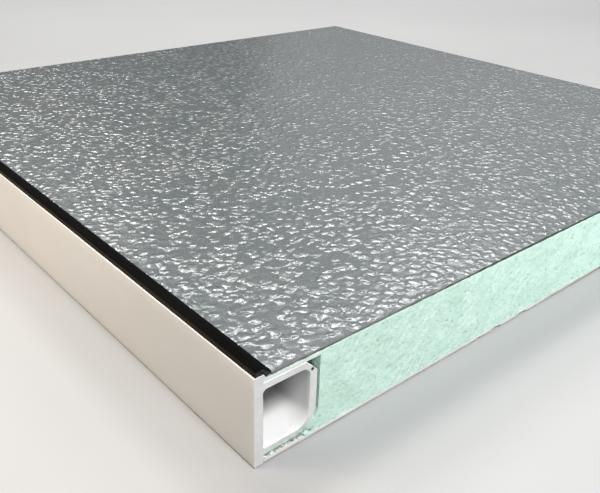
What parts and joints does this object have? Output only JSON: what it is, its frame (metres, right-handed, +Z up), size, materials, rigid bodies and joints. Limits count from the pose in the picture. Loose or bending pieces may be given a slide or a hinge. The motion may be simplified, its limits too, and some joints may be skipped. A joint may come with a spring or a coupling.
{
  "type": "insulated sandwich panel",
  "caption": "Square foam-cored panel with embossed facing sheets, one edge closed by a hollow extruded profile under a black wedge seal.",
  "frame": {"origin": "middle of the panel's underside", "axes": "+X from the closed edge across the panel, +Y along the edge profile, +Z up through the thickness"},
  "size_m": [0.453, 0.445, 0.0429],
  "materials": {
    "profile": "satin",
    "seal": "satin",
    "foam": "matt",
    "facing": "embossed"
  },
  "bodies": {
    "root": {"edge_profile": "profile", "edge_seal": "seal", "foam_core": "foam", "upper_sheet": "facing", "lower_sheet": "facing"}
  },
  "joints": []
}
